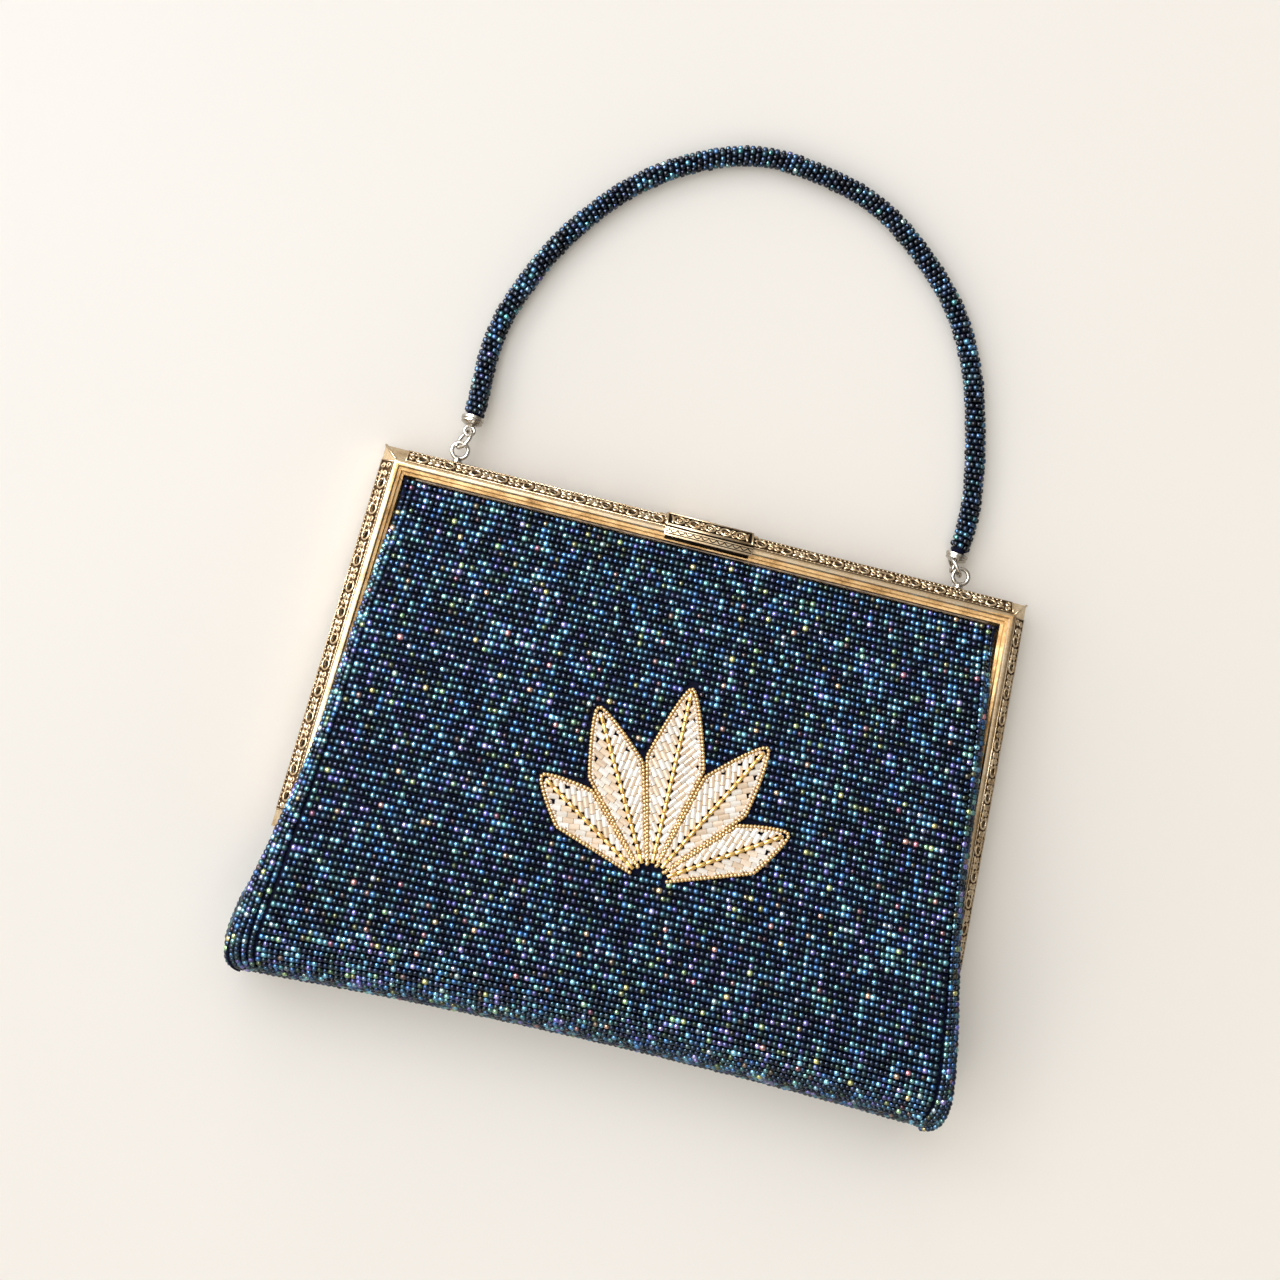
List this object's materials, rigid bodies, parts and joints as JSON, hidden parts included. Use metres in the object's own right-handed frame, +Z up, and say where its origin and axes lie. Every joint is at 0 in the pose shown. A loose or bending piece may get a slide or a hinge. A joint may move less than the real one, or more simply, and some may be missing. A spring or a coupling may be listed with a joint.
{
  "type": "beaded evening bag",
  "caption": "Flat trapezoid evening bag of beaded cloth on a U-shaped openwork metal frame, with a turning clasp flap and an arched beaded rope handle on ring eyes.",
  "frame": {"origin": "centre of the flat of the back panel that rests on the table", "axes": "+X along the bag's width, +Y from the base to the handle, +Z up out of the front panel of the bag as it lies on its back"},
  "size_m": [0.2206, 0.2766, 0.0339],
  "materials": {
    "navy_beadwork": "small iridescent navy glass beads on dark cloth",
    "gilt_frame": "worn gilt over brass, dark in the recesses",
    "silver_fittings": "warm silver plate"
  },
  "bodies": {
    "bag": {"body_wrap": "navy_beadwork", "gusset_left": "navy_beadwork", "gusset_right": "navy_beadwork", "frame_front": "gilt_frame", "frame_back": "gilt_frame", "frame_hinge_left": "gilt_frame", "frame_hinge_right": "gilt_frame", "clasp_pin": "gilt_frame", "frame_eye_left": "silver_fittings", "frame_eye_right": "silver_fittings", "jump_ring_left": "silver_fittings", "jump_ring_right": "silver_fittings", "handle_cap_left": "silver_fittings", "handle_cap_right": "silver_fittings", "handle_rope": "navy_beadwork"},
    "clasp": {"clasp_flap": "gilt_frame"}
  },
  "joints": [
    {"name": "clasp_turn", "type": "hinge", "parent": "bag", "child": "clasp", "pos_m": [0, 0.07977, 0.00444], "axis": [-1, 0, 0], "range_deg": [0, 70]}
  ]
}
